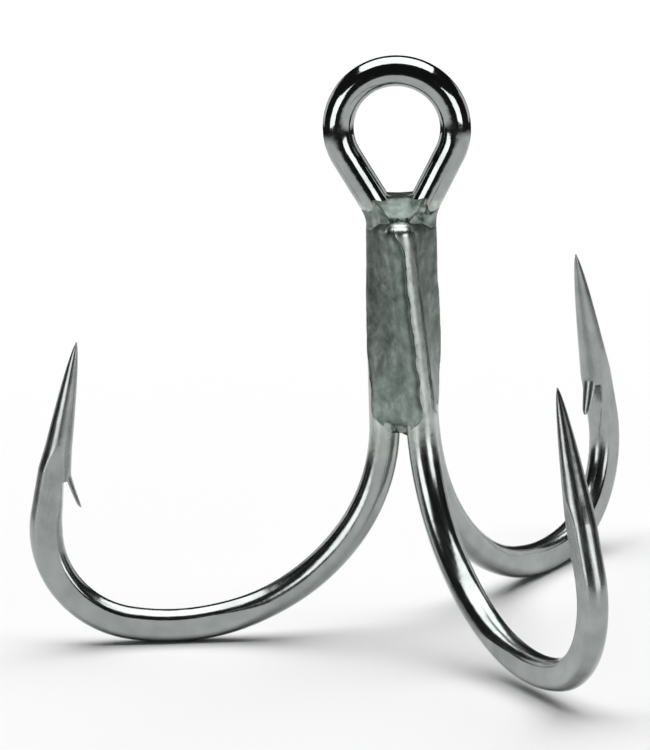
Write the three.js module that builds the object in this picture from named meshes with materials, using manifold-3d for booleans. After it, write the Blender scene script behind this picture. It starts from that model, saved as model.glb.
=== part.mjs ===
// Treble hook. Millimetres, +Z up towards the line eye.
// The origin is the centre of the eye's ring, and the eye's hole runs along Y.
// A double hook is bent from one wire, with the eye in the middle of that wire.
// A single hook lies in the groove of the double's shank, and braze joins the two.
// The drawing is laid out round the shank's axis, then moved so that the eye is centred.
import * as THREE from "three";
import { mergeVertices } from "three/addons/utils/BufferGeometryUtils.js";
import Module from "manifold-3d";

const wasm = await Module();
wasm.setup();

const degrees = Math.PI / 180;

// Wire.
const wireRadius = 1.55;
const sidesOfWire = 16;

// Eye: a ring whose two ends run down as straight legs and blend into the shank.
const eyeRingRadius = 5.88;
const eyeLegLean = 28.8 * degrees;
const eyeLegBlendRadius = 4.5;

// Shank: three wires side by side that twist round the hook's axis on the way down.
const legRadiusAtEye = 2.2;
const legRadiusAtBends = 2.55;
const shankTwist = 30 * degrees;
const twistEase = 0.2;
const bendStartHeight = -29.6;
const singleTopHeight = -8.95;

// Bend: three arcs that follow one another, then the straight point.
const frontArcRadius = 19.9;
const frontArcAngle = 36.2 * degrees;
const bellyArcRadius = 23.1;
const bellyArcAngle = 64.8 * degrees;
const heelArcRadius = 9.8;
const pointLean = 12.4 * degrees;
const pointLength = 18.2;
const singleSplay = 4.0 * degrees;

// Where each hook points, seen from above.
const leftHookAngle = 180 * degrees;
const rearHookAngle = 61 * degrees;
const singleHookAngle = -60 * degrees;

// Forging: the outer turn of each bend is pressed flat on both sides.
const forgedHalfThickness = 1.24;
const forgedHalfWidth = 1.68;
const flatStart = 14;
const flatEnd = 42.0;
const flatRunIn = 3.5;

// Point and barb, measured back from the tip along the wire.
const pointTaperLength = 13.6;
const pointTaperPower = 0.62;
const tipRadius = 0.1;
const barbRoot = 14.2;
const barbTip = 16.9;
const barbRise = 1.6;
const barbWidth = 1.4;
const barbCutDepth = 0.78;
const barbCutLength = 6.2;

// Braze: filler run into the three grooves between the wires, and a web in the eye's throat.
const brazeFaceRise = 1.5;
const brazeFaceHollow = 0.08;
const brazeTop = -8.9;
const brazeBottom = -30.4;
const throatTop = -6.7;
const throatBottom = -8.74;
const wireGap = 0.14;
const seamGap = 0.09;

const solidOf = (geometry) => {
  const bare = geometry.clone();
  bare.deleteAttribute("normal");
  bare.deleteAttribute("uv");
  const merged = mergeVertices(bare, 1e-5);
  return new wasm.Manifold(
    new wasm.Mesh({
      numProp: 3,
      vertProperties: new Float32Array(merged.attributes.position.array),
      triVerts: new Uint32Array(merged.index.array),
    }),
  );
};

const geometryOf = (solid) => {
  const mesh = solid.getMesh();
  const count = mesh.vertProperties.length / mesh.numProp;
  const positions = new Float32Array(count * 3);
  for (let i = 0; i < count; i += 1) {
    const from = i * mesh.numProp;
    positions.set(mesh.vertProperties.subarray(from, from + 3), i * 3);
  }
  const geometry = new THREE.BufferGeometry();
  geometry.setAttribute("position", new THREE.BufferAttribute(positions, 3));
  geometry.setIndex(new THREE.BufferAttribute(new Uint32Array(mesh.triVerts), 1));
  geometry.computeVertexNormals();
  return geometry;
};

// A closed surface through rings of points: each ring has the same number of points.
const loft = (rings) => {
  const sides = rings[0].length;
  const vertices = rings.flat();
  const faces = [];
  for (let r = 0; r < rings.length - 1; r += 1) {
    for (let k = 0; k < sides; k += 1) {
      const a = r * sides + k;
      const b = r * sides + ((k + 1) % sides);
      faces.push(a, b, b + sides, a, b + sides, a + sides);
    }
  }
  const capOf = (ring) => {
    const centre = new THREE.Vector3();
    ring.forEach((point) => centre.addScaledVector(point, 1 / sides));
    vertices.push(centre);
    return vertices.length - 1;
  };
  const first = capOf(rings[0]);
  const last = capOf(rings[rings.length - 1]);
  const lastRing = (rings.length - 1) * sides;
  for (let k = 0; k < sides; k += 1) {
    const next = (k + 1) % sides;
    faces.push(first, next, k);
    faces.push(last, lastRing + k, lastRing + next);
  }
  const geometry = new THREE.BufferGeometry();
  const flat = vertices.flatMap((point) => [point.x, point.y, point.z]);
  geometry.setAttribute("position", new THREE.Float32BufferAttribute(flat, 3));
  geometry.setIndex(faces);
  geometry.computeVertexNormals();
  return geometry;
};

const outward = (angle) => new THREE.Vector3(Math.cos(angle), Math.sin(angle), 0);
const eyeAcross = new THREE.Vector3(0, 1, 0);
const smooth = (t) => {
  const c = Math.min(1, Math.max(0, t));
  return c * c * (3 - 2 * c);
};

// The end of a leg's blend under the eye: where the wire becomes the shank.
const legX = legRadiusAtEye * Math.cos(shankTwist);
const legTopY = legRadiusAtEye * Math.sin(shankTwist);
const ringLeaveX = eyeRingRadius * Math.cos(eyeLegLean);
const ringLeaveZ = -eyeRingRadius * Math.sin(eyeLegLean);
const blendX = legX + eyeLegBlendRadius * (1 - Math.cos(eyeLegLean));
const straightRun = (ringLeaveX - blendX) / Math.sin(eyeLegLean);
const blendZ = ringLeaveZ - straightRun * Math.cos(eyeLegLean);
const shankTop = blendZ - eyeLegBlendRadius * Math.sin(eyeLegLean);

// Centre line of a wire from the bend's start to the tip, in the hook's own plane.
// u runs outward from the axis, z is the height, turn is the angle from straight down.
const bendStations = (splay) => {
  const total = Math.PI + pointLean + splay;
  const startHeight = bendStartHeight + (frontArcRadius * splay) / 2;
  const arcs = [
    [frontArcRadius, frontArcAngle + splay, 9],
    [bellyArcRadius, bellyArcAngle, 12],
    [heelArcRadius, total - frontArcAngle - splay - bellyArcAngle, 14],
  ];
  const stations = [{ u: legRadiusAtBends, z: startHeight, turn: 0 }];
  for (const [radius, angle, steps] of arcs) {
    const from = stations[stations.length - 1];
    for (let k = 1; k <= steps; k += 1) {
      const turn = from.turn + (angle * k) / steps;
      const u = from.u + radius * (Math.cos(from.turn) - Math.cos(turn));
      const z = from.z - radius * (Math.sin(turn) - Math.sin(from.turn));
      stations.push({ u, z, turn });
    }
  }
  const end = stations[stations.length - 1];
  const runs = [1.2, 3.0, 4.4, 5.6, 6.9, 8.6, 10.4, 12.2, 13.9, 15.4, 16.6, 17.4, 17.85, 18.0];
  for (const run of runs) {
    const along = (run * pointLength) / 18;
    const u = end.u + along * Math.sin(end.turn);
    const z = end.z - along * Math.cos(end.turn);
    stations.push({ u, z, turn: end.turn });
  }
  let fromTip = 0;
  stations[stations.length - 1].fromTip = 0;
  for (let i = stations.length - 2; i >= 0; i -= 1) {
    const here = stations[i];
    const next = stations[i + 1];
    fromTip += Math.hypot(next.u - here.u, next.z - here.z);
    here.fromTip = fromTip;
  }
  return stations;
};

// Half width in the hook's plane, half thickness across it and how flat the sides are.
const sectionAt = (fromTip) => {
  const pressedIn = smooth((fromTip - (flatStart - flatRunIn)) / flatRunIn);
  const pressedOut = 1 - smooth((fromTip - flatEnd) / (2 * flatRunIn));
  const pressed = Math.min(pressedIn, pressedOut);
  const taper = Math.min(1, Math.pow(Math.max(fromTip, 0) / pointTaperLength, pointTaperPower));
  const size = Math.max(tipRadius / wireRadius, taper);
  return {
    width: size * (wireRadius + (forgedHalfWidth - wireRadius) * pressed),
    thickness: size * wireRadius,
    flat: size * (wireRadius + (forgedHalfThickness - wireRadius) * pressed),
  };
};

// One ring of a wire round a station. Across is the direction that forging presses along.
const wireRing = ({ centre, along, across, section }, extra) => {
  const { width, thickness, flat } = section;
  const side = across.clone().cross(along).normalize();
  const corner = Math.min(67.5 * degrees, Math.asin(Math.min(1, flat / thickness)));
  const points = [];
  const place = (angle) => {
    const reach = (thickness + extra) * Math.sin(angle);
    const limited = Math.sign(reach) * Math.min(Math.abs(reach), flat + extra);
    const point = centre.clone().addScaledVector(side, (width + extra) * Math.cos(angle));
    points.push(point.addScaledVector(across, limited));
  };
  const arcSteps = (sidesOfWire - 4) / 2;
  for (const middle of [0, Math.PI]) {
    for (let k = 0; k <= arcSteps; k += 1) {
      place(middle - corner + (2 * corner * k) / arcSteps);
    }
    place(middle + Math.PI / 2);
  }
  return points;
};

const roundSection = (radius) => ({ width: radius, thickness: radius, flat: radius });

// How far down the shank a height is, from 0 at the top to 1 where the bends start.
// The twist is even along the shank, and eases off a little at its ends.
const shankShare = (z) => {
  const run = Math.min(1, Math.max(0, (shankTop - z) / (shankTop - bendStartHeight)));
  return run - (twistEase * Math.sin(2 * Math.PI * run)) / (2 * Math.PI);
};
const legRadiusAt = (z) =>
  legRadiusAtEye + (legRadiusAtBends - legRadiusAtEye) * shankShare(z);
const twistedBack = (z) => shankTwist * (1 - shankShare(z));

// One leg of the shank, from the top down to just above the bend's start.
const shankStations = (hookAngle, topHeight, splay, startAcross, planeAcross) => {
  const steps = 12;
  const bottom = bendStartHeight + (frontArcRadius * splay) / 2;
  const centreAt = (z) =>
    outward(hookAngle - twistedBack(z)).multiplyScalar(legRadiusAt(z)).setZ(z);
  const stations = [];
  for (let k = 0; k < steps; k += 1) {
    const z = topHeight + ((bottom - topHeight) * k) / steps;
    const centre = centreAt(z);
    const along = centreAt(z - 0.2).sub(centreAt(z + 0.2)).normalize();
    const across = startAcross.clone().lerp(planeAcross, k / steps);
    across.addScaledVector(along, -across.dot(along)).normalize();
    stations.push({ centre, along, across, section: roundSection(wireRadius) });
  }
  return stations;
};

// One hook from the top of its shank to its tip.
const hookStations = (hookAngle, topHeight, splay, startAcross) => {
  const planeAcross = outward(hookAngle + Math.PI / 2);
  if (planeAcross.dot(startAcross) < 0) planeAcross.negate();
  const shank = shankStations(hookAngle, topHeight, splay, startAcross, planeAcross);
  const bend = bendStations(splay).map(({ u, z, turn, fromTip }) => ({
    centre: outward(hookAngle).multiplyScalar(u).setZ(z),
    along: outward(hookAngle).multiplyScalar(Math.sin(turn)).setZ(-Math.cos(turn)),
    across: planeAcross,
    section: sectionAt(fromTip),
  }));
  return [...shank, ...bend];
};

const reversed = (stations) =>
  stations.map((station) => ({ ...station, along: station.along.clone().negate() })).reverse();

// The eye from the top of the left leg, over the ring, to the top of the right leg.
const eyeStations = () => {
  const half = [];
  for (let k = 0; k < 4; k += 1) {
    const turn = (eyeLegLean * k) / 4;
    const x = legX + eyeLegBlendRadius * (1 - Math.cos(turn));
    const z = shankTop + eyeLegBlendRadius * Math.sin(turn);
    half.push({ x, z, turn });
  }
  half.push({ x: blendX, z: blendZ, turn: eyeLegLean });
  const ringSteps = 11;
  for (let k = 0; k <= ringSteps; k += 1) {
    const angle = -eyeLegLean + ((Math.PI / 2 + eyeLegLean) * k) / ringSteps;
    const x = eyeRingRadius * Math.cos(angle);
    const z = eyeRingRadius * Math.sin(angle);
    half.push({ x, z, turn: -angle });
  }
  const section = roundSection(wireRadius);
  const left = half.map(({ x, z, turn }) => ({
    centre: new THREE.Vector3(-x, legTopY, z),
    along: new THREE.Vector3(-Math.sin(turn), 0, Math.cos(turn)),
    across: eyeAcross,
    section,
  }));
  const right = left.slice(0, -1).map(({ centre, along }) => ({
    centre: new THREE.Vector3(-centre.x, legTopY, centre.z),
    along: new THREE.Vector3(along.x, 0, -along.z),
    across: eyeAcross,
    section,
  }));
  return [...left, ...right.reverse()];
};

const wireSolid = (stations, extra) =>
  solidOf(loft(stations.map((station) => wireRing(station, extra))));

// The double hook without its barbs. Extra makes it fatter, to cut its seat in the braze.
const doubleWire = (extra) => {
  const left = hookStations(leftHookAngle, shankTop, 0, eyeAcross);
  const rear = hookStations(rearHookAngle, shankTop, 0, eyeAcross);
  return wireSolid([...reversed(left), ...eyeStations().slice(1, -1), ...rear], extra);
};

// The single hook without its barb. The end of its shank is rounded over.
const singleWire = (extra) => {
  const top = singleTopHeight + extra;
  const across = outward(singleHookAngle - shankTwist + Math.PI / 2);
  const stations = hookStations(singleHookAngle, top, singleSplay, across);
  const [first] = stations;
  const rounding = [
    [0, 0.62],
    [0.16, 1.12],
    [0.5, 1.45],
  ];
  const cap = rounding.map(([drop, radius]) => ({
    ...first,
    centre: first.centre.clone().addScaledVector(first.along, drop),
    section: roundSection(radius),
  }));
  return wireSolid([...cap, ...stations.slice(1)], extra);
};

// A straight-sided piece in the plane of a hook's point. The outline is in
// (distance back from the tip, distance to the inside of the wire's centre line).
const pointPrism = (hookAngle, splay, outline, halfWidth) => {
  const stations = bendStations(splay);
  const tip = stations[stations.length - 1];
  const back = outward(hookAngle).multiplyScalar(-Math.sin(tip.turn)).setZ(Math.cos(tip.turn));
  const inside = outward(hookAngle).multiplyScalar(Math.cos(tip.turn)).setZ(Math.sin(tip.turn));
  const across = outward(hookAngle + Math.PI / 2);
  const origin = outward(hookAngle).multiplyScalar(tip.u).setZ(tip.z);
  const ring = (offset) =>
    outline.map(([run, rise]) => {
      const point = origin.clone().addScaledVector(back, run);
      return point.addScaledVector(inside, rise).addScaledVector(across, offset);
    });
  return solidOf(loft([ring(-halfWidth), ring(halfWidth)]));
};

// The barb: a cut in the inner side of the point, and the sliver raised out of it.
const withBarb = (wire, hookAngle, splay) => {
  const surface = sectionAt(barbRoot).width;
  const cut = [
    [barbRoot + 0.15, surface - barbCutDepth],
    [barbRoot + 0.15 + barbCutLength, surface + 0.05],
    [barbRoot + 0.15 + barbCutLength, surface + 1],
    [barbRoot + 0.15, surface + 1],
  ];
  const sliver = [
    [barbRoot - 1.8, surface - 1.0],
    [barbRoot + 0.3, surface - 1.0],
    [barbRoot + 0.6, surface - 0.34],
    [barbTip - 0.1, surface + barbRise - 0.3],
    [barbTip, surface + barbRise],
    [barbRoot - 0.1, surface + 0.04],
    [barbRoot - 1.8, surface - 0.5],
  ];
  const cutSolid = pointPrism(hookAngle, splay, cut, 2);
  const sliverSolid = pointPrism(hookAngle, splay, sliver, barbWidth / 2);
  return wire.subtract(cutSolid).add(sliverSolid);
};

// Filler run into the groove between two neighbouring legs of the shank.
// It is a twisted prism from the shank's middle out to a slightly hollow face.
const brazeSeam = (middleAngle) => {
  const steps = 10;
  const rings = [];
  for (let k = 0; k <= steps; k += 1) {
    const z = brazeBottom + ((brazeTop - brazeBottom) * k) / steps;
    const angle = middleAngle - twistedBack(z);
    const radius = legRadiusAt(z);
    const out = outward(angle);
    const around = outward(angle + Math.PI / 2);
    const face = radius * Math.cos(60 * degrees) + brazeFaceRise;
    const reach = radius * Math.sin(60 * degrees);
    const legOut = radius * Math.cos(60 * degrees) + seamGap;
    const outline = [
      [seamGap, 0],
      [legOut, -reach],
      [face, -reach],
      [face - brazeFaceHollow, 0],
      [face, reach],
      [legOut, reach],
    ];
    rings.push(
      outline.map(([distance, sideways]) =>
        out.clone().multiplyScalar(distance).addScaledVector(around, sideways).setZ(z),
      ),
    );
  }
  return solidOf(loft(rings));
};

// Filler across the eye's throat: a saddle between the two legs that runs down in front
// of them onto the end of the single hook.
const brazeThroat = () => {
  const levels = [
    { z: throatBottom, front: -1.75, rear: legTopY + 1.3, half: 2.0 },
    { z: -8.1, front: -1.3, rear: legTopY + 1.25, half: 2.1 },
    { z: -7.5, front: -0.55, rear: legTopY + 1.1, half: 2.2 },
    { z: -7.0, front: 0.05, rear: legTopY + 0.85, half: 2.4 },
    { z: throatTop, front: 0.5, rear: legTopY + 0.5, half: 2.6 },
  ];
  const rings = levels.map(({ z, front, rear, half }) => {
    const bevel = 0.4;
    const outline = [
      [-half + bevel, front],
      [half - bevel, front],
      [half, front + bevel],
      [half, rear - bevel],
      [half - bevel, rear],
      [-half + bevel, rear],
      [-half, rear - bevel],
      [-half, front + bevel],
    ];
    return outline.map(([x, y]) => new THREE.Vector3(x, y, z));
  });
  return solidOf(loft(rings));
};

const plated = new THREE.MeshStandardMaterial({
  color: 0xb4b9b8,
  metalness: 1,
  roughness: 0.22,
});
const brazed = new THREE.MeshStandardMaterial({
  color: 0x7d8a84,
  metalness: 0.9,
  roughness: 0.45,
});

const root = new THREE.Group();
root.name = "treble_hook";

const add = (name, solid, material) => {
  const moved = solid.translate([0, -legTopY, 0]);
  const mesh = new THREE.Mesh(geometryOf(moved), material);
  mesh.name = name;
  root.add(mesh);
};

const doubleHook = withBarb(withBarb(doubleWire(0), leftHookAngle, 0), rearHookAngle, 0);
const singleHook = withBarb(singleWire(0), singleHookAngle, singleSplay);
const seats = doubleWire(wireGap).add(singleWire(wireGap));

add("double_hook_wire", doubleHook, plated);
add("single_hook_wire", singleHook, plated);
add("braze_seam_front_left", brazeSeam(-120 * degrees).subtract(seats), brazed);
add("braze_seam_right", brazeSeam(0).subtract(seats), brazed);
add("braze_seam_rear", brazeSeam(120 * degrees).subtract(seats), brazed);
add("braze_eye_throat", brazeThroat().subtract(seats), brazed);

export default root;
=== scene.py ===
# The treble hook's looks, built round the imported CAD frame. Blender works in metres, and the
# shapes are laid out in millimetres round the shank's axis, as the CAD source lays them out.
import math

import bpy
import numpy as np
from mathutils import Matrix, Vector, noise


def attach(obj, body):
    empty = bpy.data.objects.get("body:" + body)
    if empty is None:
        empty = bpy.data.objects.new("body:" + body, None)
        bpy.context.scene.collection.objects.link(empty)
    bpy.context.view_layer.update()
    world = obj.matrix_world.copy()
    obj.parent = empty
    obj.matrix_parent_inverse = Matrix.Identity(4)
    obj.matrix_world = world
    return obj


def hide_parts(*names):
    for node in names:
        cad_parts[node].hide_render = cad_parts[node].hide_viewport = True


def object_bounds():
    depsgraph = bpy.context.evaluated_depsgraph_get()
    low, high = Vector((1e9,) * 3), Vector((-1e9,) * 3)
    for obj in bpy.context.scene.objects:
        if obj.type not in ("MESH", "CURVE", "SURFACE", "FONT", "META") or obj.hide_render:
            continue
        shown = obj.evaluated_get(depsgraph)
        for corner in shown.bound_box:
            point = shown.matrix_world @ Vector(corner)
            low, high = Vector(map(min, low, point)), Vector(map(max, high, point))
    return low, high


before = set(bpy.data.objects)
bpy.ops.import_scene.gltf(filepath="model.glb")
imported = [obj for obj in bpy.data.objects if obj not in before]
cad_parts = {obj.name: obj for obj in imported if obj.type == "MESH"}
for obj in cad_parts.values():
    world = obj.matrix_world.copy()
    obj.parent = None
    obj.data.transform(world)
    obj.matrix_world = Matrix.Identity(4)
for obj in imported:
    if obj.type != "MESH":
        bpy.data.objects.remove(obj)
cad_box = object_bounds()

MM = 0.001
DEGREES = math.pi / 180

# Wire and line eye, in millimetres.
WIRE_RADIUS = 1.55
EYE_RING_RADIUS = 5.88
EYE_LEG_LEAN = 28.8 * DEGREES
EYE_LEG_BLEND_RADIUS = 4.5

# Shank: three wires side by side that twist round the hook's axis on the way down.
LEG_RADIUS_AT_EYE = 2.2
LEG_RADIUS_AT_BENDS = 2.55
SHANK_TWIST = 30 * DEGREES
TWIST_EASE = 0.2
BEND_START_HEIGHT = -29.6
SINGLE_TOP_HEIGHT = -8.95
SINGLE_END_ROUNDING = 1.1
SINGLE_END_TIP_RADIUS = 0.12

# Bend: three arcs that follow one another, then the straight point.
FRONT_ARC_RADIUS = 19.9
FRONT_ARC_ANGLE = 36.2 * DEGREES
BELLY_ARC_RADIUS = 23.1
BELLY_ARC_ANGLE = 64.8 * DEGREES
HEEL_ARC_RADIUS = 9.8
POINT_LEAN = 12.4 * DEGREES
POINT_LENGTH = 18.2
SINGLE_SPLAY = 4.0 * DEGREES

# Where each hook points, seen from above.
LEFT_HOOK_ANGLE = 180 * DEGREES
REAR_HOOK_ANGLE = 61 * DEGREES
SINGLE_HOOK_ANGLE = -60 * DEGREES

# Forging: the outer turn of each bend is pressed flat on both sides.
FORGED_HALF_THICKNESS = 1.24
FORGED_HALF_WIDTH = 1.68
FLAT_START = 14.0
FLAT_END = 42.0
FLAT_RUN_IN = 3.5
FLAT_EDGE_ROUNDING = 0.12

# Point and barb, measured back from the tip along the wire.
POINT_TAPER_LENGTH = 13.6
POINT_TAPER_POWER = 0.62
TIP_RADIUS = 0.1
BARB_ROOT = 14.2
BARB_TIP = 16.9
BARB_RISE = 1.6
BARB_HALF_WIDTH = 0.8
BARB_CUT_DEPTH = 0.78
BARB_CUT_LENGTH = 6.2
BARB_CUT_STEP = 0.25
BARB_CUT_POWER = 1.15
BARB_CUT_ROUNDING = 0.06
BARB_BURIED_ROOT = 1.6
BARB_ROOT_THICKNESS = 0.62
BARB_TIP_THICKNESS = 0.3
BARB_ROOT_SUNK = 0.12
BARB_RISE_START = 0.5
BARB_RISE_POWER = 1.12
BARB_NARROWING = 0.55
BARB_CROWN = 0.14
BARB_WRAP = 0.45
BARB_BLUNT_FROM = 0.9

# Braze: filler run into the three grooves between the wires, and a web in the eye's throat.
BRAZE_FACE_RISE = 1.61
BRAZE_FACE_HOLLOW = 0.1
BRAZE_FACE_CURVE = 2.2
BRAZE_TOP = -8.7
BRAZE_BOTTOM = -30.9
BRAZE_CORE_RADIUS = 0.05
LEAST_SKIN_SHARE = 0.8

# The ends of a seam are rounded over: a shoulder above, and a narrower, hollow foot below.
SHOULDER_LENGTH = 1.9
SHOULDER_DIP = 1.3
SHOULDER_FILM_LOSS = 0.2
FOOT_LENGTH = 2.2
FOOT_DIP = 1.0
FOOT_FILM_LOSS = 0.25
FOOT_HOLLOW = 0.5
FOOT_NARROWING = 0.45

# The filler's thin film over a wire sinks into the wire at its rim, with a bead just inside
# it. Places and widths are shares of the way round the seam's face.
FILM_ON_WIRE = 0.07
FILM_SUNK_AT_RIM = -0.12
FILM_RIM_WIDTH = 0.05
FILM_BEAD_HEIGHT = 0.07
FILM_BEAD_PLACE = 0.06
FILM_BEAD_WIDTH = 0.03
FILM_DENT_LIMIT = 0.03
BUMP_RIM_WIDTH = 0.1
SWELL_RIM_WIDTH = 0.12

THROAT_TOP = -6.7
THROAT_BOTTOM = -10.9
THROAT_HALF_WIDTH = 3.5
THROAT_SADDLE_HALF_WIDTH = 2.6
THROAT_EDGE = 0.2
THROAT_DENT_LIMIT = 0.02
THROAT_CREASE_ROUNDING = 0.6
LEG_FOOT_LUMP_X = 2.35
LEG_FOOT_LUMP_Z = -8.5
LEG_FOOT_LUMP_SIZE = 0.6
LEG_FOOT_LUMP_HEIGHT = 0.72

# Mesh fineness, and the angles above which an edge is shown sharp.
SIDES_OF_WIRE = 48
SIDES_OF_BARB = 20
STEPS_ALONG_BARB = 26
STEPS_ROUND_EYE_BLEND = 9
STEPS_ROUND_HALF_RING = 44
STEPS_ROUND_SINGLE_END = 22
STEP_ALONG_WIRE = 0.3
STEP_ALONG_POINT = 0.1
STEP_DOWN_SEAM = 0.13
SEAM_FACE_STEPS = 60
SEAM_INSIDE_STEPS = 5
THROAT_COLUMNS = 72
THROAT_ROWS = 44
THROAT_ROW_LENGTH = 0.1
WIRE_SHARP_ANGLE = 32 * DEGREES
SEAM_SHARP_ANGLE = 50 * DEGREES
THROAT_SHARP_ANGLE = 60 * DEGREES

LEG_TOP_X = LEG_RADIUS_AT_EYE * math.cos(SHANK_TWIST)
LEG_TOP_Y = LEG_RADIUS_AT_EYE * math.sin(SHANK_TWIST)
RING_LEAVE_X = EYE_RING_RADIUS * math.cos(EYE_LEG_LEAN)
RING_LEAVE_Z = -EYE_RING_RADIUS * math.sin(EYE_LEG_LEAN)
BLEND_X = LEG_TOP_X + EYE_LEG_BLEND_RADIUS * (1 - math.cos(EYE_LEG_LEAN))
STRAIGHT_RUN = (RING_LEAVE_X - BLEND_X) / math.sin(EYE_LEG_LEAN)
BLEND_Z = RING_LEAVE_Z - STRAIGHT_RUN * math.cos(EYE_LEG_LEAN)
SHANK_TOP = BLEND_Z - EYE_LEG_BLEND_RADIUS * math.sin(EYE_LEG_LEAN)

UP = np.array([0.0, 0.0, 1.0])
EYE_ACROSS = np.array([0.0, 1.0, 0.0])

# Bumps in the seams are drawn out along the shank.
FLOW = np.array([1.0, 1.0, 0.6])


def outward(angle):
    """The level direction at an angle, seen from above."""
    return np.array([math.cos(angle), math.sin(angle), 0.0])


def smooth(t):
    """0 below 0, 1 above 1, and an even slope between them."""
    c = min(1.0, max(0.0, t))
    return c * c * (3 - 2 * c)


def unit(vector):
    return vector / np.linalg.norm(vector)


def soft_least(a, b, rounding):
    """The smaller of a and b, with the corner between them rounded over."""
    near = np.maximum(rounding - np.abs(a - b), 0.0) / rounding
    return np.minimum(a, b) - near * near * rounding / 4


# ---------------------------------------------------------------- centre lines

def shank_share(z):
    """How far down the shank a height is, from 0 at the top to 1 where the bends start."""
    run = min(1.0, max(0.0, (SHANK_TOP - z) / (SHANK_TOP - BEND_START_HEIGHT)))
    return run - TWIST_EASE * math.sin(2 * math.pi * run) / (2 * math.pi)


def leg_radius(z):
    return LEG_RADIUS_AT_EYE + (LEG_RADIUS_AT_BENDS - LEG_RADIUS_AT_EYE) * shank_share(z)


def twisted_back(z):
    return SHANK_TWIST * (1 - shank_share(z))


def section_at(from_tip):
    """Half width in the hook's plane, half thickness across it, and where the flats cut it."""
    pressed_in = smooth((from_tip - (FLAT_START - FLAT_RUN_IN)) / FLAT_RUN_IN)
    pressed_out = 1 - smooth((from_tip - FLAT_END) / (2 * FLAT_RUN_IN))
    pressed = min(pressed_in, pressed_out)
    taper = min(1.0, (max(from_tip, 0.0) / POINT_TAPER_LENGTH) ** POINT_TAPER_POWER)
    size = max(TIP_RADIUS / WIRE_RADIUS, taper)
    width = size * (WIRE_RADIUS + (FORGED_HALF_WIDTH - WIRE_RADIUS) * pressed)
    flat = size * (WIRE_RADIUS + (FORGED_HALF_THICKNESS - WIRE_RADIUS) * pressed)
    return width, size * WIRE_RADIUS, flat


def round_section(radius):
    return radius, radius, radius


def bend_line(splay):
    """(u outward from the axis, height, turn from straight down) from the shank to the tip."""
    u = LEG_RADIUS_AT_BENDS
    z = BEND_START_HEIGHT + FRONT_ARC_RADIUS * splay / 2
    turn = 0.0
    line = [(u, z, turn)]
    heel_angle = math.pi + POINT_LEAN - FRONT_ARC_ANGLE - BELLY_ARC_ANGLE
    arcs = (
        (FRONT_ARC_RADIUS, FRONT_ARC_ANGLE + splay),
        (BELLY_ARC_RADIUS, BELLY_ARC_ANGLE),
        (HEEL_ARC_RADIUS, heel_angle),
    )
    for radius, angle in arcs:
        steps = math.ceil(radius * angle / STEP_ALONG_WIRE)
        for k in range(1, steps + 1):
            here = turn + angle * k / steps
            du = radius * (math.cos(turn) - math.cos(here))
            dz = radius * (math.sin(here) - math.sin(turn))
            line.append((u + du, z - dz, here))
        u, z, turn = line[-1]
    steps = math.ceil(POINT_LENGTH / STEP_ALONG_POINT)
    for k in range(1, steps + 1):
        along = POINT_LENGTH * k / steps
        line.append((u + along * math.sin(turn), z - along * math.cos(turn), turn))
    return line


class Station:
    """One place on a wire's centre line, with the wire's section there."""

    def __init__(self, centre, along, across, section, inside=None, from_tip=None):
        self.centre = centre
        self.along = unit(along)
        self.across = unit(across - np.dot(across, self.along) * self.along)
        self.section = section
        self.inside = inside
        self.from_tip = from_tip

    def turned_round(self):
        return Station(
            self.centre, -self.along, self.across, self.section, self.inside, self.from_tip
        )


def shank_centre(hook_angle, z):
    return outward(hook_angle - twisted_back(z)) * leg_radius(z) + UP * z


def hook_stations(hook_angle, top, splay, start_across):
    """One hook from the top of its shank to its tip."""
    plane_across = outward(hook_angle + math.pi / 2)
    if np.dot(plane_across, start_across) < 0:
        plane_across = -plane_across
    line = bend_line(splay)
    bottom = line[0][1]
    stations = []
    steps = math.ceil((top - bottom) / STEP_ALONG_WIRE)
    for k in range(steps):
        share = k / steps
        z = top + (bottom - top) * share
        centre = shank_centre(hook_angle, z)
        along = shank_centre(hook_angle, z - 0.2) - shank_centre(hook_angle, z + 0.2)
        across = start_across * (1 - share) + plane_across * share
        stations.append(Station(centre, along, across, round_section(WIRE_RADIUS)))
    from_tip = 0.0
    bend = []
    for i in range(len(line) - 1, -1, -1):
        u, z, turn = line[i]
        if i < len(line) - 1:
            from_tip += math.hypot(line[i + 1][0] - u, line[i + 1][1] - z)
        centre = outward(hook_angle) * u + UP * z
        along = outward(hook_angle) * math.sin(turn) - UP * math.cos(turn)
        inside = outward(hook_angle) * math.cos(turn) + UP * math.sin(turn)
        section = section_at(from_tip)
        bend.append(Station(centre, along, plane_across, section, inside, from_tip))
    return stations + bend[::-1]


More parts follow.
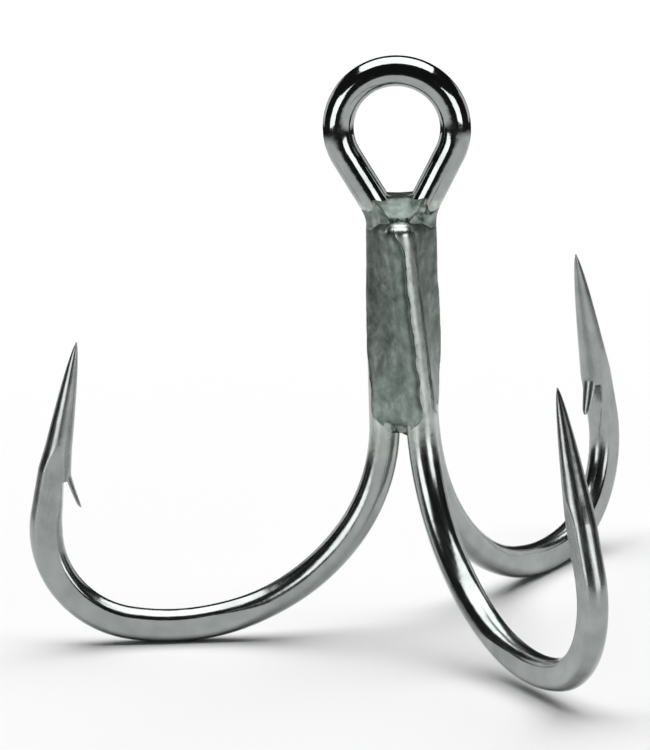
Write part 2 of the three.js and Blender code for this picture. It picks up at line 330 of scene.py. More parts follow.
def eye_stations():
    """The eye, from the top of the left leg over the ring to the top of the right leg."""
    half = []
    for k in range(STEPS_ROUND_EYE_BLEND):
        turn = EYE_LEG_LEAN * k / STEPS_ROUND_EYE_BLEND
        x = LEG_TOP_X + EYE_LEG_BLEND_RADIUS * (1 - math.cos(turn))
        half.append((x, SHANK_TOP + EYE_LEG_BLEND_RADIUS * math.sin(turn), turn))
    steps = math.ceil(STRAIGHT_RUN / STEP_ALONG_WIRE)
    for k in range(steps):
        run = STRAIGHT_RUN * k / steps
        x = BLEND_X + run * math.sin(EYE_LEG_LEAN)
        half.append((x, BLEND_Z + run * math.cos(EYE_LEG_LEAN), EYE_LEG_LEAN))
    for k in range(STEPS_ROUND_HALF_RING + 1):
        share = k / STEPS_ROUND_HALF_RING
        angle = -EYE_LEG_LEAN + (math.pi / 2 + EYE_LEG_LEAN) * share
        x = EYE_RING_RADIUS * math.cos(angle)
        half.append((x, EYE_RING_RADIUS * math.sin(angle), -angle))
    section = round_section(WIRE_RADIUS)
    left = []
    right = []
    for x, z, turn in half:
        rising = np.array([-math.sin(turn), 0.0, math.cos(turn)])
        falling = np.array([-math.sin(turn), 0.0, -math.cos(turn)])
        left.append(Station(np.array([-x, LEG_TOP_Y, z]), rising, EYE_ACROSS, section))
        right.append(Station(np.array([x, LEG_TOP_Y, z]), falling, EYE_ACROSS, section))
    return left + right[-2::-1]


# ---------------------------------------------------------------- meshes

def barb_limit(from_tip):
    """How far the inner side reaches where the barb was cut out of it."""
    back = from_tip - BARB_ROOT
    if back < 0 or back > BARB_CUT_LENGTH:
        return None
    surface = section_at(BARB_ROOT)[0]
    step = smooth(back / BARB_CUT_STEP)
    fade = (1 - back / BARB_CUT_LENGTH) ** BARB_CUT_POWER
    return surface + BARB_CUT_ROUNDING - BARB_CUT_DEPTH * step * fade


def wire_ring(station):
    """One ring of a wire: points round the section, with the flats and the barb's cut."""
    width, thickness, flat = station.section
    side = np.cross(station.across, station.along)
    angles = np.arange(SIDES_OF_WIRE) * (2 * math.pi / SIDES_OF_WIRE)
    reach = width * np.cos(angles)
    lift = thickness * np.sin(angles)
    if thickness - flat > 0.002:
        rounding = min(FLAT_EDGE_ROUNDING, 0.6 * (thickness - flat))
        lift = np.sign(lift) * soft_least(np.abs(lift), flat, rounding)
    if station.from_tip is not None:
        limit = barb_limit(station.from_tip)
        if limit is not None:
            facing = 1.0 if np.dot(side, station.inside) > 0 else -1.0
            reach = facing * soft_least(facing * reach, limit, BARB_CUT_ROUNDING)
    return station.centre + np.outer(reach, side) + np.outer(lift, station.across)


class MeshParts:
    """Collects closed surfaces in millimetres, with u round and v along each of them."""

    def __init__(self):
        self.points = []
        self.faces = []
        self.corners = []

    def loft(self, rings, lengths):
        """A closed surface through rings that all have the same number of points."""
        sides = len(rings[0])
        base = len(self.points)
        for ring in rings:
            self.points.extend(ring)
        for r in range(len(rings) - 1):
            for k in range(sides):
                after = (k + 1) % sides
                a = base + r * sides
                self.faces.append((a + k, a + after, a + after + sides, a + k + sides))
                low, high = lengths[r], lengths[r + 1]
                left, right = k / sides, (k + 1) / sides
                self.corners.extend(((left, low), (right, low), (right, high), (left, high)))
        for ring_index, flipped in ((0, True), (len(rings) - 1, False)):
            start = base + ring_index * sides
            middle = len(self.points)
            self.points.append(np.mean(rings[ring_index], axis=0))
            v = lengths[ring_index]
            for k in range(sides):
                pair = (start + k, start + (k + 1) % sides)
                if flipped:
                    pair = pair[::-1]
                self.faces.append((pair[0], pair[1], middle))
                self.corners.extend(((k / sides, v), ((k + 1) / sides, v), (k / sides, v)))

    def object(self, name, sharp_angle):
        mesh = bpy.data.meshes.new(name)
        offset = np.array([0.0, -LEG_TOP_Y, 0.0])
        points = (np.array(self.points) + offset) * MM
        mesh.from_pydata(points.tolist(), [], self.faces)
        layer = mesh.uv_layers.new(name="UVMap")
        layer.data.foreach_set("uv", np.array(self.corners, np.float32).ravel())
        mesh.validate()
        mesh.shade_smooth()
        mesh.set_sharp_from_angle(angle=sharp_angle)
        made = bpy.data.objects.new(name, mesh)
        bpy.context.scene.collection.objects.link(made)
        return made


def lengths_along(stations):
    centres = np.array([station.centre for station in stations])
    steps = np.linalg.norm(np.diff(centres, axis=0), axis=1)
    return np.concatenate(([0.0], np.cumsum(steps)))


def add_wire(parts, stations):
    parts.loft([wire_ring(station) for station in stations], lengths_along(stations))


def add_barb(parts, hook_angle, splay):
    """The sliver raised out of the wire: a leaf that thins and narrows to its own tip."""
    u, z, turn = bend_line(splay)[-1]
    tip = outward(hook_angle) * u + UP * z
    back = -outward(hook_angle) * math.sin(turn) + UP * math.cos(turn)
    inside = outward(hook_angle) * math.cos(turn) + UP * math.sin(turn)
    across = outward(hook_angle + math.pi / 2)
    surface = section_at(BARB_ROOT)[0]
    start = BARB_ROOT - BARB_BURIED_ROOT
    rise_start = BARB_ROOT - BARB_RISE_START
    rings = []
    for k in range(STEPS_ALONG_BARB + 1):
        share = k / STEPS_ALONG_BARB
        run = start + (BARB_TIP - start) * share
        lifted = max(0.0, (run - rise_start) / (BARB_TIP - rise_start))
        sunk = BARB_ROOT_SUNK * (1 - smooth(share / 0.3))
        top = surface - sunk + BARB_RISE * lifted ** BARB_RISE_POWER
        into_tip = max(0.0, (share - BARB_BLUNT_FROM) / (1 - BARB_BLUNT_FROM))
        blunt = math.sqrt(max(0.0, 1 - into_tip ** 2))
        thinning = (BARB_ROOT_THICKNESS - BARB_TIP_THICKNESS) * share
        thin = (BARB_ROOT_THICKNESS - thinning) * max(0.12, blunt)
        half = BARB_HALF_WIDTH * (1 - BARB_NARROWING * share ** 2) * max(0.3, blunt)
        ring = []
        for j in range(SIDES_OF_BARB):
            angle = 2 * math.pi * j / SIDES_OF_BARB
            sideways = half * math.cos(angle)
            crown = BARB_CROWN * half * share * math.sin(angle) ** 2
            wrap = BARB_WRAP * sideways ** 2 / WIRE_RADIUS
            height = top - thin / 2 + thin / 2 * math.sin(angle) + crown - wrap
            ring.append(tip + back * run + inside * height + across * sideways)
        rings.append(ring)
    facing = np.dot(np.cross(across, inside), back)
    if facing < 0:
        rings = [ring[::-1] for ring in rings]
    parts.loft(rings, np.linspace(0, BARB_TIP - start, STEPS_ALONG_BARB + 1))


def lump(point, size, height):
    """Smooth bumps of the given size, the same on every run."""
    return height * noise.noise(Vector(point) / size)


def single_stations():
    """The single hook, with the end of its shank rounded over."""
    across = outward(SINGLE_HOOK_ANGLE - SHANK_TWIST + math.pi / 2)
    stations = hook_stations(SINGLE_HOOK_ANGLE, SINGLE_TOP_HEIGHT, SINGLE_SPLAY, across)
    first = stations[0]
    cap = []
    for k in range(STEPS_ROUND_SINGLE_END):
        turn = math.pi / 2 * k / STEPS_ROUND_SINGLE_END
        drop = SINGLE_END_ROUNDING * (1 - math.cos(turn))
        growth = (WIRE_RADIUS - SINGLE_END_TIP_RADIUS) * math.sin(turn)
        radius = SINGLE_END_TIP_RADIUS + growth
        centre = first.centre + first.along * drop
        cap.append(Station(centre, first.along, first.across, round_section(radius)))
    cap_foot = SINGLE_TOP_HEIGHT - SINGLE_END_ROUNDING
    return cap + [station for station in stations[1:] if station.centre[2] < cap_foot]


def skin_radius(angle, z):
    """How far from the axis the outer side of the three wires is, in one direction."""
    radius = leg_radius(z)
    back = twisted_back(z)
    best = LEAST_SKIN_SHARE * radius
    into_end = (z - SINGLE_TOP_HEIGHT + SINGLE_END_ROUNDING) / SINGLE_END_ROUNDING
    for hook_angle in (LEFT_HOOK_ANGLE, REAR_HOOK_ANGLE, SINGLE_HOOK_ANGLE):
        wire = WIRE_RADIUS
        if hook_angle == SINGLE_HOOK_ANGLE:
            wire *= math.sqrt(1 - min(1.0, max(0.0, into_end)) ** 2)
        off = angle - (hook_angle - back)
        sideways = radius * math.sin(off)
        if abs(sideways) < wire and math.cos(off) > 0:
            reach = radius * math.cos(off) + math.sqrt(wire ** 2 - sideways ** 2)
            best = max(best, reach)
    return best


def film_over_wire(share):
    """How proud of a wire the filler's skin is, from its sunk rim to the full film."""
    return FILM_SUNK_AT_RIM + (FILM_ON_WIRE - FILM_SUNK_AT_RIM) * share


def rim_wander(middle_angle, z):
    """How many degrees a seam's rims stray at a height, in broad waves and small ones."""
    broad = noise.noise(Vector((7.0 * middle_angle, 0.3, z / 2.1)))
    small = noise.noise(Vector((3.0, 5.0 * middle_angle, z / 0.6)))
    return 3.0 * broad + 1.5 * small


def seam_lumps(place):
    """Broad bumps and small ones, both drawn out along the shank."""
    broad = lump(place * FLOW + 40, size=1.9, height=0.11)
    small = lump(place * FLOW + 90, size=0.7, height=0.05)
    return broad + small


def seam_ring(middle_angle, z, low_z, cover, swell):
    """A level of filler: out to its skin over two wires, and back through the wires."""
    middle = middle_angle - twisted_back(z)
    leg_out = leg_radius(z) * math.cos(math.pi / 3)
    reach = leg_radius(z) * math.sin(math.pi / 3)
    low = smooth(1 - (z - low_z) / FOOT_LENGTH)
    high = smooth((z - (BRAZE_TOP - SHOULDER_LENGTH)) / SHOULDER_LENGTH)
    face = leg_out + BRAZE_FACE_RISE - FOOT_DIP * low ** 2 - SHOULDER_DIP * high ** 2
    film_loss = FOOT_FILM_LOSS * low ** 2 + SHOULDER_FILM_LOSS * high
    tangent = math.atan(reach / (leg_out + WIRE_RADIUS))
    first, last = cover(z)
    wander = rim_wander(middle_angle, z)
    narrowed = (1 - FOOT_NARROWING * low) * DEGREES
    start = -(first + wander) * narrowed
    end = (last + wander) * narrowed
    ring = []
    steps = SEAM_FACE_STEPS
    for k in range(steps + 1):
        off = start + (end - start) * k / steps
        angle = middle + off
        edge = min(k, steps - k) / steps
        bead = math.exp(-((edge - FILM_BEAD_PLACE) / FILM_BEAD_WIDTH) ** 2)
        film = film_over_wire(smooth(edge / FILM_RIM_WIDTH))
        film += FILM_BEAD_HEIGHT * bead - film_loss
        least = skin_radius(angle, z) + film
        depth = least
        if abs(off) < tangent:
            v = math.tan(abs(off)) / math.tan(tangent)
            hollow = (BRAZE_FACE_HOLLOW + FOOT_HOLLOW * low) * (1 - v ** BRAZE_FACE_CURVE)
            depth = max(depth, (face - hollow) / math.cos(off))
        pushed = seam_lumps(outward(angle) * depth + UP * z) * smooth(edge / BUMP_RIM_WIDTH)
        pushed += swell(off, z) * smooth(edge / SWELL_RIM_WIDTH)
        skin = max(depth + pushed, least - FILM_DENT_LIMIT)
        ring.append(outward(angle) * skin + UP * z)
    inner = outward(middle) * BRAZE_CORE_RADIUS + UP * z
    parts = SEAM_INSIDE_STEPS + 1
    for k in range(1, parts):
        ring.append(ring[steps] * (1 - k / parts) + inner * (k / parts))
    for k in range(1, parts):
        ring.append(inner * (1 - k / parts) + ring[0] * (k / parts))
    return ring


# Each cover says how many degrees a seam's filler reaches over the wire on either side of it,
# and each swell how far its face is pushed out, at an angle off its middle and at a height.

def front_left_cover(z):
    """Over the left leg it draws in low down. Over the single it leaves a pocket at the top."""
    drawn_in = 8 * smooth((-22.5 - z) / 2.5)
    pocket = 12 * smooth((z + 11.6) / 1.8)
    over_left_leg = 55 - drawn_in
    over_single = 69 - 14 * shank_share(z) - pocket
    return over_left_leg, over_single


def right_cover(z):
    over_single = 38 + 15 * shank_share(z)
    over_rear_leg = 66
    return over_single, over_rear_leg


def rear_cover(z):
    over_rear_leg = 52
    over_left_leg = 50
    return over_rear_leg, over_left_leg


def no_swell(off, z):
    return 0.0


def right_swell(off, z):
    """The right filler stands proud over the rear leg, a little below half way down."""
    proud = 0.3
    near_height = math.exp(-((z + 21.5) / 3.4) ** 2)
    over_rear_leg = smooth((off - 0.25) / 0.5)
    return proud * near_height * over_rear_leg


def seam_object(name, middle_angle, low_z, cover, swell):
    """Filler run into the groove between two neighbouring legs of the shank."""
    parts = MeshParts()
    steps = math.ceil((BRAZE_TOP - low_z) / STEP_DOWN_SEAM)
    heights = [low_z + (BRAZE_TOP - low_z) * k / steps for k in range(steps + 1)]
    rings = [seam_ring(middle_angle, z, low_z, cover, swell) for z in heights]
    parts.loft(rings, [z - low_z for z in heights])
    return parts.object(name, SEAM_SHARP_ANGLE)


def leg_place(z):
    """How far out an eye leg's centre is at a height near the throat, and its lean there."""
    if z < SHANK_TOP:
        return LEG_TOP_X, 0.0
    if z < BLEND_Z:
        turn = math.asin((z - SHANK_TOP) / EYE_LEG_BLEND_RADIUS)
        return LEG_TOP_X + EYE_LEG_BLEND_RADIUS * (1 - math.cos(turn)), turn
    return BLEND_X + (z - BLEND_Z) * math.tan(EYE_LEG_LEAN), EYE_LEG_LEAN


def throat_depth(x, z, film, front):
    """How far the web's skin is from the eye's middle plane, towards the front or the back."""
    leg, lean = leg_place(z)
    skin = WIRE_RADIUS + film
    off = min(abs(abs(x) - leg) * math.cos(lean), skin)
    wire = math.sqrt(skin ** 2 - off ** 2)
    if abs(x) > leg:
        return wire
    below = THROAT_TOP + 0.55 * (x / THROAT_SADDLE_HALF_WIDTH) ** 2 - z
    if front:
        over_single = smooth((2.5 - abs(x)) / 1.6)
        full_depth = 1.2 + 1.25 * over_single
        run_down = 1.0 + 1.5 * over_single
    else:
        full_depth = 1.25
        run_down = 1.6
    web = THROAT_EDGE + full_depth * smooth(below / run_down)
    return -float(soft_least(-web, -wire, THROAT_CREASE_ROUNDING))


def throat_rim(across):
    """The height of the web's upper edge: a saddle between the legs that drops over them."""
    near = THROAT_HALF_WIDTH * across
    saddle = THROAT_TOP + 0.5 * (near / THROAT_SADDLE_HALF_WIDTH) ** 2
    drop = 1.8 * smooth((abs(near) - 1.75) / 1.2)
    wander = 0.6 * noise.noise(Vector((across * 3.1, 2.2, 4.0)))
    return saddle - drop + wander * smooth((abs(near) - 1.5) / 0.6)


def throat_object(name):
    """Filler across the eye's throat: a saddle that runs down over the tops of the legs."""
    rings = []
    for i in range(THROAT_ROWS + 1):
        share = i / THROAT_ROWS
        inside_edges = smooth((1 - share) / 0.26) * smooth(share / 0.3)
        ring_front = []
        ring_rear = []
        for k in range(THROAT_COLUMNS + 1):
            across = -math.cos(math.pi * k / THROAT_COLUMNS)
            z = THROAT_BOTTOM + (throat_rim(across) - THROAT_BOTTOM) * share
            leg, lean = leg_place(z)
            film = film_over_wire(inside_edges)
            x = across * (leg + (WIRE_RADIUS + film) / math.cos(lean))
            point = Vector((x + 20, 5, z))
            pushed = lump(point, size=1.3, height=0.09)
            pushed += lump(point * 1.7, size=0.8, height=0.04)
            pushed *= inside_edges * smooth((1 - abs(across)) / 0.15)
            off_lump = math.hypot(x - LEG_FOOT_LUMP_X, z - LEG_FOOT_LUMP_Z)
            lump_share = math.exp(-(off_lump / LEG_FOOT_LUMP_SIZE) ** 2)
            front = throat_depth(x, z, film, True) + max(pushed, -THROAT_DENT_LIMIT)
            front += LEG_FOOT_LUMP_HEIGHT * lump_share * inside_edges
            rear = throat_depth(x, z, film, False) + max(-pushed, -THROAT_DENT_LIMIT)
            ring_front.append(np.array([x, LEG_TOP_Y - front, z]))
            ring_rear.append(np.array([x, LEG_TOP_Y + rear, z]))
        rings.append(ring_front + ring_rear[-2:0:-1])
    parts = MeshParts()
    parts.loft(rings, [THROAT_ROW_LENGTH * k for k in range(THROAT_ROWS + 1)])
    return parts.object(name, THROAT_SHARP_ANGLE)


# ---------------------------------------------------------------- materials

# A Mix node's colour sockets come after its sockets for numbers and vectors.
MIX_SHARE = 0
MIX_FIRST_COLOUR = 6
MIX_SECOND_COLOUR = 7
MIX_COLOUR_RESULT = 2

# Zones of a material, in metres. FAR is further out than any part of the hook.
FAR = 1.0
ZONE_FADE = 0.001
ZONE_WOBBLE = 0.0009

# Colours are linear red, green and blue.
PLATING_DARK = (0.285, 0.305, 0.296)
PLATING_LIGHT = (0.37, 0.39, 0.38)
WETTED_DARK = (0.38, 0.42, 0.395)
WETTED_LIGHT = (0.6, 0.65, 0.615)
FILLER_DARK = (0.13, 0.165, 0.148)
FILLER_MIDDLE = (0.215, 0.26, 0.235)
FILLER_LIGHT = (0.36, 0.405, 0.375)
# Painted shade for the grooves along the seams' rims, near black.
RIM_SHADE_DARK = (0.035, 0.045, 0.04)
RIM_SHADE_LIGHT = (0.08, 0.1, 0.09)
FLOOR_COLOUR = (0.88, 0.88, 0.88)
DARK_ROOM_COLOUR = (0.02, 0.02, 0.02)
SKY_COLOUR = (0.015, 0.015, 0.015)


class Nodes:
    """A material's node tree, with short calls to add and join nodes."""

    def __init__(self, name):
        self.material = bpy.data.materials.new(name)
        self.material.use_nodes = True
        self.tree = self.material.node_tree
        self.tree.nodes.clear()
        self.shader = self.add("ShaderNodeBsdfPrincipled")
        self.output = self.add("ShaderNodeOutputMaterial")
        self.join(self.shader, "BSDF", self.output, "Surface")

    def add(self, kind, **settings):
        node = self.tree.nodes.new(kind)
        for key, value in settings.items():
            setattr(node, key, value)
        return node

    def join(self, source, output, target, socket):
        self.tree.links.new(source.outputs[output], target.inputs[socket])

    def scaled(self, coordinate, scale):
        """Texture coordinates multiplied along each axis."""
        place = self.add("ShaderNodeTexCoord")
        mapping = self.add("ShaderNodeMapping")
        mapping.inputs["Scale"].default_value = scale
        self.join(place, coordinate, mapping, "Vector")
        return mapping

    def noise(self, coordinate, scale, detail, roughness=0.5):
        mapping = self.scaled(coordinate, scale)
        texture = self.add("ShaderNodeTexNoise")
        texture.inputs["Scale"].default_value = 1.0
        texture.inputs["Detail"].default_value = detail
        texture.inputs["Roughness"].default_value = roughness
        self.join(mapping, "Vector", texture, "Vector")
        return texture

    def ramp(self, source, output, stops):
        """A colour ramp through (position, colour) stops."""
        node = self.add("ShaderNodeValToRGB")
        elements = node.color_ramp.elements
        while len(elements) < len(stops):
            elements.new(0.5)
        for element, (position, colour) in zip(elements, stops):
            element.position = position
            element.color = (*colour, 1.0)
        self.join(source, output, node, "Fac")
        return node

    def range(self, source, output, low, high, from_low=0.3, from_high=0.7):
        """A number moved from one range to another. A noise lies mostly in 0.3 to 0.7."""
        node = self.add("ShaderNodeMapRange")
        node.inputs["From Min"].default_value = from_low
        node.inputs["From Max"].default_value = from_high
        node.inputs["To Min"].default_value = low
        node.inputs["To Max"].default_value = high
        self.join(source, output, node, "Value")
        return node

    def multiply(self, first, second):
        node = self.add("ShaderNodeMath", operation="MULTIPLY")
        self.join(first, 0, node, 0)
        self.join(second, 0, node, 1)
        return node

    def zone(self, low, low_fade, high=FAR, nearest=-FAR, furthest=FAR):
        """1 between two heights and between two distances from the object's upright axis,
        all in metres, fading to 0 at the rims."""
        place = self.add("ShaderNodeTexCoord")
        split = self.add("ShaderNodeSeparateXYZ")
        self.join(place, "Object", split, 0)
        wobble = self.noise("Object", (700, 700, 700), 2.0)
        shift = self.range(wobble, "Fac", -ZONE_WOBBLE, ZONE_WOBBLE)
        height = self.add("ShaderNodeMath", operation="ADD")
        self.join(split, "Z", height, 0)
        self.join(shift, "Result", height, 1)
        level = self.add("ShaderNodeCombineXYZ")
        self.join(split, "X", level, "X")
        self.join(split, "Y", level, "Y")
        away = self.add("ShaderNodeVectorMath", operation="LENGTH")
        self.join(level, "Vector", away, 0)
        limits = (
            self.range(height, "Value", 1.0, 0.0, high - ZONE_FADE, high),
            self.range(height, "Value", 0.0, 1.0, low, low + low_fade),
            self.range(away, "Value", 1.0, 0.0, furthest - ZONE_FADE, furthest),
            self.range(away, "Value", 0.0, 1.0, nearest - ZONE_FADE, nearest),
        )
        product = limits[0]
        for limit in limits[1:]:
            product = self.multiply(product, limit)
        return product

    def blend_numbers(self, share, first, second):
        """first where share is 0, and second where it is 1."""
        node = self.add("ShaderNodeMapRange")
        self.join(share, 0, node, "Value")
        self.join(first, 0, node, "To Min")
        self.join(second, 0, node, "To Max")
        return node

    def blend_colours(self, share, first, second):
        """first where share is 0, and second where it is 1."""
        node = self.add("ShaderNodeMix", data_type="RGBA")
        self.join(share, 0, node, MIX_SHARE)
        self.join(first, 0, node, MIX_FIRST_COLOUR)
        self.join(second, 0, node, MIX_SECOND_COLOUR)
        return node

    def bump(self, source, output, strength, distance, below=None):
        node = self.add("ShaderNodeBump")
        node.inputs["Strength"].default_value = strength
        node.inputs["Distance"].default_value = distance
        self.join(source, output, node, "Height")
        if below is not None:
            self.join(below, "Normal", node, "Normal")
        return node


def plated_wire_material():
    """Bright plating over drawn wire: fine lengthwise lines, faint clouds and fine grain.
    The eye is the most polished. Where the filler wetted the shank the plating is dull and
    greenish, and the outer turns and points are brushed."""
    nodes = Nodes("plated_wire")
    nodes.shader.inputs["Metallic"].default_value = 1.0

    wetted = nodes.zone(low=-0.0345, low_fade=0.005, high=-0.0074, furthest=0.0075)
    ground = nodes.zone(low=-0.0440, low_fade=0.004, high=0.0, nearest=0.0280)
    eye = nodes.zone(low=-0.0085, low_fade=0.002)

    clouds = nodes.noise("Object", (420, 420, 420), 3.0)
    bright = nodes.ramp(clouds, "Fac", ((0.3, PLATING_DARK), (0.7, PLATING_LIGHT)))
    mottle = nodes.noise("Object", (1500, 1500, 900), 4.0)
    dull = nodes.ramp(mottle, "Fac", ((0.3, WETTED_DARK), (0.7, WETTED_LIGHT)))
    tint = nodes.blend_colours(wetted, bright, dull)
    nodes.join(tint, MIX_COLOUR_RESULT, nodes.shader, "Base Color")

    lines = nodes.noise("UV", (46, 0.35, 1), 2.0)
    polished = nodes.range(lines, "Fac", 0.06, 0.1)
    drawn = nodes.range(lines, "Fac", 0.13, 0.22)
    brushed = nodes.range(lines, "Fac", 0.2, 0.34)
    matt = nodes.range(mottle, "Fac", 0.26, 0.36)
    hook_rough = nodes.blend_numbers(ground, drawn, brushed)
    wire_rough = nodes.blend_numbers(eye, hook_rough, polished)
    rough = nodes.blend_numbers(wetted, wire_rough, matt)
    nodes.join(rough, "Result", nodes.shader, "Roughness")

    grain = nodes.noise("Object", (5200, 5200, 5200), 2.0)
    waves = nodes.noise("Object", (900, 900, 900), 1.0)
    first = nodes.bump(lines, "Fac", 0.2, 0.00003)
    second = nodes.bump(grain, "Fac", 0.1, 0.00002, first)
    third = nodes.bump(waves, "Fac", 0.2, 0.00008, second)
    nodes.join(third, "Normal", nodes.shader, "Normal")
    return nodes.material


def braze_material():
    """Dull grey-green filler, mottled and a little rough, lighter near its lower end, with
    painted shade in near-black patches along the long rims of each seam, where the film
    meets the wire. U runs round a seam: first over its face, then back through the wires.
    V is the height above its lower end, in mm."""
    nodes = Nodes("braze_filler")
    nodes.shader.inputs["Metallic"].default_value = 0.9
    mottle = nodes.noise("Object", (900, 900, 700), 5.0, 0.6)
    filler_stops = ((0.28, FILLER_DARK), (0.5, FILLER_MIDDLE), (0.74, FILLER_LIGHT))
    tint = nodes.ramp(mottle, "Fac", filler_stops)
    # Painted shade: near-black patches stand in for the shade in the groove where the film
    # meets the wire.
    rim_shade = nodes.ramp(mottle, "Fac", ((0.3, RIM_SHADE_DARK), (0.8, RIM_SHADE_LIGHT)))

    place = nodes.add("ShaderNodeTexCoord")
    split = nodes.add("ShaderNodeSeparateXYZ")
    nodes.join(place, "UV", split, 0)
    shade = nodes.range(split, "Y", 1.03, 0.83, 4.0, 10.0)
    toned = nodes.add("ShaderNodeHueSaturation")
    nodes.join(tint, "Color", toned, "Color")
    nodes.join(shade, "Result", toned, "Value")

    # The long rims of each seam's face, where the painted shade is laid, fading out near the
    # seam's lower end.
    face_share = SEAM_FACE_STEPS / (SEAM_FACE_STEPS + 2 * SEAM_INSIDE_STEPS + 1)
    to_last = nodes.range(split, "X", 0.0, 1.0, face_share - 0.095, face_share - 0.06)
    from_first = nodes.range(split, "X", 1.0, 0.0, 0.05, 0.09)
    rims = nodes.add("ShaderNodeMath", operation="MAXIMUM")
    nodes.join(to_last, 0, rims, 0)
    nodes.join(from_first, 0, rims, 1)
    patchy = nodes.noise("Object", (1300, 1300, 500), 2.0)
    strength = nodes.range(patchy, "Fac", 0.35, 0.95)
    above_end = nodes.range(split, "Y", 0.0, 1.0, 1.6, 4.0)
    rim_shaded = nodes.multiply(nodes.multiply(rims, strength), above_end)
    colour = nodes.blend_colours(rim_shaded, toned, rim_shade)
    nodes.join(colour, MIX_COLOUR_RESULT, nodes.shader, "Base Color")

    patches = nodes.noise("Object", (450, 450, 450), 2.0)
    rough = nodes.range(patches, "Fac", 0.32, 0.5)
    nodes.join(rough, "Result", nodes.shader, "Roughness")

    lumps = nodes.noise("Object", (1600, 1600, 1600), 4.0)
    grain = nodes.noise("Object", (7000, 7000, 7000), 2.0)
    first = nodes.bump(lumps, "Fac", 0.45, 0.0001)
    second = nodes.bump(grain, "Fac", 0.25, 0.00003, first)
    nodes.join(second, "Normal", nodes.shader, "Normal")
    return nodes.material


# ---------------------------------------------------------------- the object

def put(piece, material, slot, *replaced):
    piece.data.materials.append(material)
    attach(piece, "root")
    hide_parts(*replaced)


plated = plated_wire_material()
brazed = braze_material()

left_hook = hook_stations(LEFT_HOOK_ANGLE, SHANK_TOP, 0.0, EYE_ACROSS)
rear_hook = hook_stations(REAR_HOOK_ANGLE, SHANK_TOP, 0.0, EYE_ACROSS)
double_parts = MeshParts()
left_reversed = [station.turned_round() for station in left_hook[::-1]]
add_wire(double_parts, left_reversed + eye_stations()[1:-1] + rear_hook)
add_barb(double_parts, LEFT_HOOK_ANGLE, 0.0)
add_barb(double_parts, REAR_HOOK_ANGLE, 0.0)
double_wire = double_parts.object("plated_double_hook", WIRE_SHARP_ANGLE)
put(double_wire, plated, "plated_wire", "double_hook_wire")

single_parts = MeshParts()
add_wire(single_parts, single_stations())
add_barb(single_parts, SINGLE_HOOK_ANGLE, SINGLE_SPLAY)
single_wire = single_parts.object("plated_single_hook", WIRE_SHARP_ANGLE)
put(single_wire, plated, "plated_wire", "single_hook_wire")

SEAMS = (
    ("front_left", -120 * DEGREES, BRAZE_BOTTOM, front_left_cover, no_swell),
    ("right", 0.0, BRAZE_BOTTOM + 0.9, right_cover, right_swell),
    ("rear", 120 * DEGREES, BRAZE_BOTTOM + 0.5, rear_cover, no_swell),
)
for side_name, middle, low, cover, swell in SEAMS:
    seam = seam_object("braze_run_" + side_name, middle, low, cover, swell)
    put(seam, brazed, "braze_filler", "braze_seam_" + side_name)

throat = throat_object("braze_web_throat")
put(throat, brazed, "braze_filler", "braze_eye_throat")

# ---------------------------------------------------------------- floor and light

FLOOR_HEIGHT = cad_box[0].z
FLOOR_HALF_SIZE = 4.0
DARK_ROOM_HEIGHT = FLOOR_HEIGHT + 0.0004
TABLE_RADIUS = 0.14
DARK_FROM_RADIUS = 0.2


def matt_material(name, colour):
    nodes = Nodes(name)
    nodes.shader.inputs["Base Color"].default_value = (*colour, 1.0)
    nodes.shader.inputs["Roughness"].default_value = 1.0
    nodes.shader.inputs["Specular IOR Level"].default_value = 0.0
    return nodes.material


def dark_surround_material():
    """Clear over the table, and nearly black further out."""
    nodes = Nodes("dark_surround")
    clear = nodes.add("ShaderNodeBsdfTransparent")
    dark = nodes.add("ShaderNodeEmission")
    dark.inputs["Color"].default_value = (*DARK_ROOM_COLOUR, 1.0)
    place = nodes.add("ShaderNodeTexCoord")
    distance = nodes.add("ShaderNodeVectorMath", operation="LENGTH")
    nodes.join(place, "Object", distance, 0)
    fade = nodes.range(distance, "Value", 0.0, 1.0, TABLE_RADIUS, DARK_FROM_RADIUS)
    blend = nodes.add("ShaderNodeMixShader")
    nodes.join(fade, "Result", blend, 0)
    nodes.join(clear, "BSDF", blend, 1)
    nodes.join(dark, "Emission", blend, 2)
    nodes.join(blend, "Shader", nodes.output, "Surface")
    return nodes.material


def flat_sheet(name, half_size, height, material):
    mesh = bpy.data.meshes.new(name)
    corners = [(-half_size, -half_size), (half_size, -half_size)]
    corners += [(half_size, half_size), (-half_size, half_size)]
    mesh.from_pydata([(x, y, height) for x, y in corners], [], [(0, 1, 2, 3)])
    mesh.materials.append(material)
    made = bpy.data.objects.new(name, mesh)
    bpy.context.scene.collection.objects.link(made)
    return made


pale = matt_material("pale_floor", FLOOR_COLOUR)
flat_sheet("floor", FLOOR_HALF_SIZE, FLOOR_HEIGHT, pale)

# The room beyond the pale table is dark. Only the metal's reflections see it.
dark_room = dark_surround_material()
surround = flat_sheet("dark_surround", FLOOR_HALF_SIZE, DARK_ROOM_HEIGHT, dark_room)
surround.visible_camera = False
surround.visible_diffuse = False
surround.visible_shadow = False
surround.visible_transmission = False


def softbox(name, width, height, radiance, location, target):
    """A rectangular light of the given brightness, aimed at a point."""
    light = bpy.data.lights.new(name, "AREA")
    light.shape = "RECTANGLE"
    light.size = width
    light.size_y = height
    light.energy = radiance * math.pi * width * height
    lamp = bpy.data.objects.new(name, light)
    lamp.location = location
    aim = (Vector(target) - Vector(location)).to_track_quat("-Z", "Y")
    lamp.rotation_euler = aim.to_euler()
    bpy.context.scene.collection.objects.link(lamp)
    return lamp


softbox(
    "overhead",
    width=3.2,
    height=2.8,
    radiance=3.0,
    location=(0.0, 0.7, 2.0),
    target=(0.0, 0.7, 0.0),
)

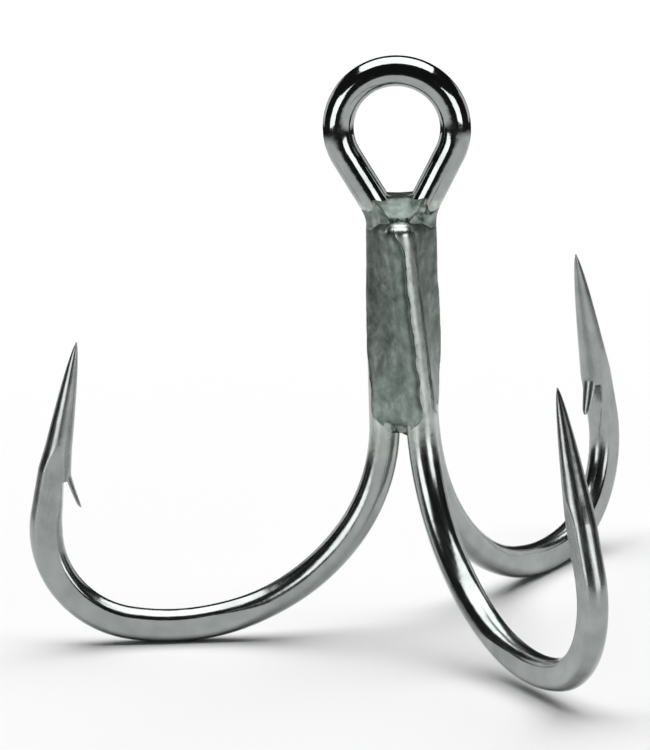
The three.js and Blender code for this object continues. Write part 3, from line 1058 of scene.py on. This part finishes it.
# Four low lights round the table draw the bright bands on the wire and leave the floor alone.
LOW_LIGHT_DISTANCE = 0.3
LOW_LIGHT_WIDTH = 0.175
LOW_LIGHT_TOP = 0.078
LOW_LIGHT_BOTTOM = FLOOR_HEIGHT + 0.0005
LOW_LIGHTS = (
    ("low_front_left", -44 * DEGREES, 2.8),
    ("low_front_right", 44 * DEGREES, 2.8),
    ("low_back_right", 136 * DEGREES, 0.9),
    ("low_back_left", -136 * DEGREES, 0.9),
)
LOW_LIGHT_HEIGHT = LOW_LIGHT_TOP - LOW_LIGHT_BOTTOM
LOW_LIGHT_MIDDLE = (LOW_LIGHT_TOP + LOW_LIGHT_BOTTOM) / 2
for name, direction, radiance in LOW_LIGHTS:
    x = LOW_LIGHT_DISTANCE * math.sin(direction)
    y = -LOW_LIGHT_DISTANCE * math.cos(direction)
    stand = (x, y, LOW_LIGHT_MIDDLE)
    target = (0.0, 0.0, LOW_LIGHT_MIDDLE)
    lamp = softbox(name, LOW_LIGHT_WIDTH, LOW_LIGHT_HEIGHT, radiance, stand, target)
    lamp.visible_diffuse = False

world = bpy.data.worlds.new("studio")
world.use_nodes = True
background = world.node_tree.nodes["Background"]
background.inputs["Color"].default_value = (*SKY_COLOUR, 1.0)
background.inputs["Strength"].default_value = 1.0
bpy.context.scene.world = world
bpy.context.scene.view_settings.view_transform = "Standard"

# ---------------------------------------------------------------- camera

CAMERA_AZIMUTH = 4.028 * DEGREES
CAMERA_ELEVATION = 15.043 * DEGREES
CAMERA_ROLL = 2.818 * DEGREES
CAMERA_DISTANCE = 1.01519
CAMERA_ACROSS = -0.0083925
CAMERA_RISE = -0.0243248
CAMERA_LENS = 487.29

back = Vector((
    math.sin(CAMERA_AZIMUTH) * math.cos(CAMERA_ELEVATION),
    -math.cos(CAMERA_AZIMUTH) * math.cos(CAMERA_ELEVATION),
    math.sin(CAMERA_ELEVATION),
))
right = Vector((math.cos(CAMERA_AZIMUTH), math.sin(CAMERA_AZIMUTH), 0.0))
up = back.cross(right)
rolled_right = right * math.cos(CAMERA_ROLL) - up * math.sin(CAMERA_ROLL)
rolled_up = right * math.sin(CAMERA_ROLL) + up * math.cos(CAMERA_ROLL)

camera_data = bpy.data.cameras.new("camera")
camera_data.lens = CAMERA_LENS
camera_data.sensor_width = 36.0
camera_data.clip_start = 0.01
camera_data.clip_end = 50.0
camera = bpy.data.objects.new("camera", camera_data)
turned = Matrix((rolled_right, rolled_up, back)).transposed()
place_at = back * CAMERA_DISTANCE + right * CAMERA_ACROSS + up * CAMERA_RISE
camera.matrix_world = Matrix.Translation(place_at) @ turned.to_4x4()
bpy.context.scene.collection.objects.link(camera)
bpy.context.scene.camera = camera

bpy.context.view_layer.update()
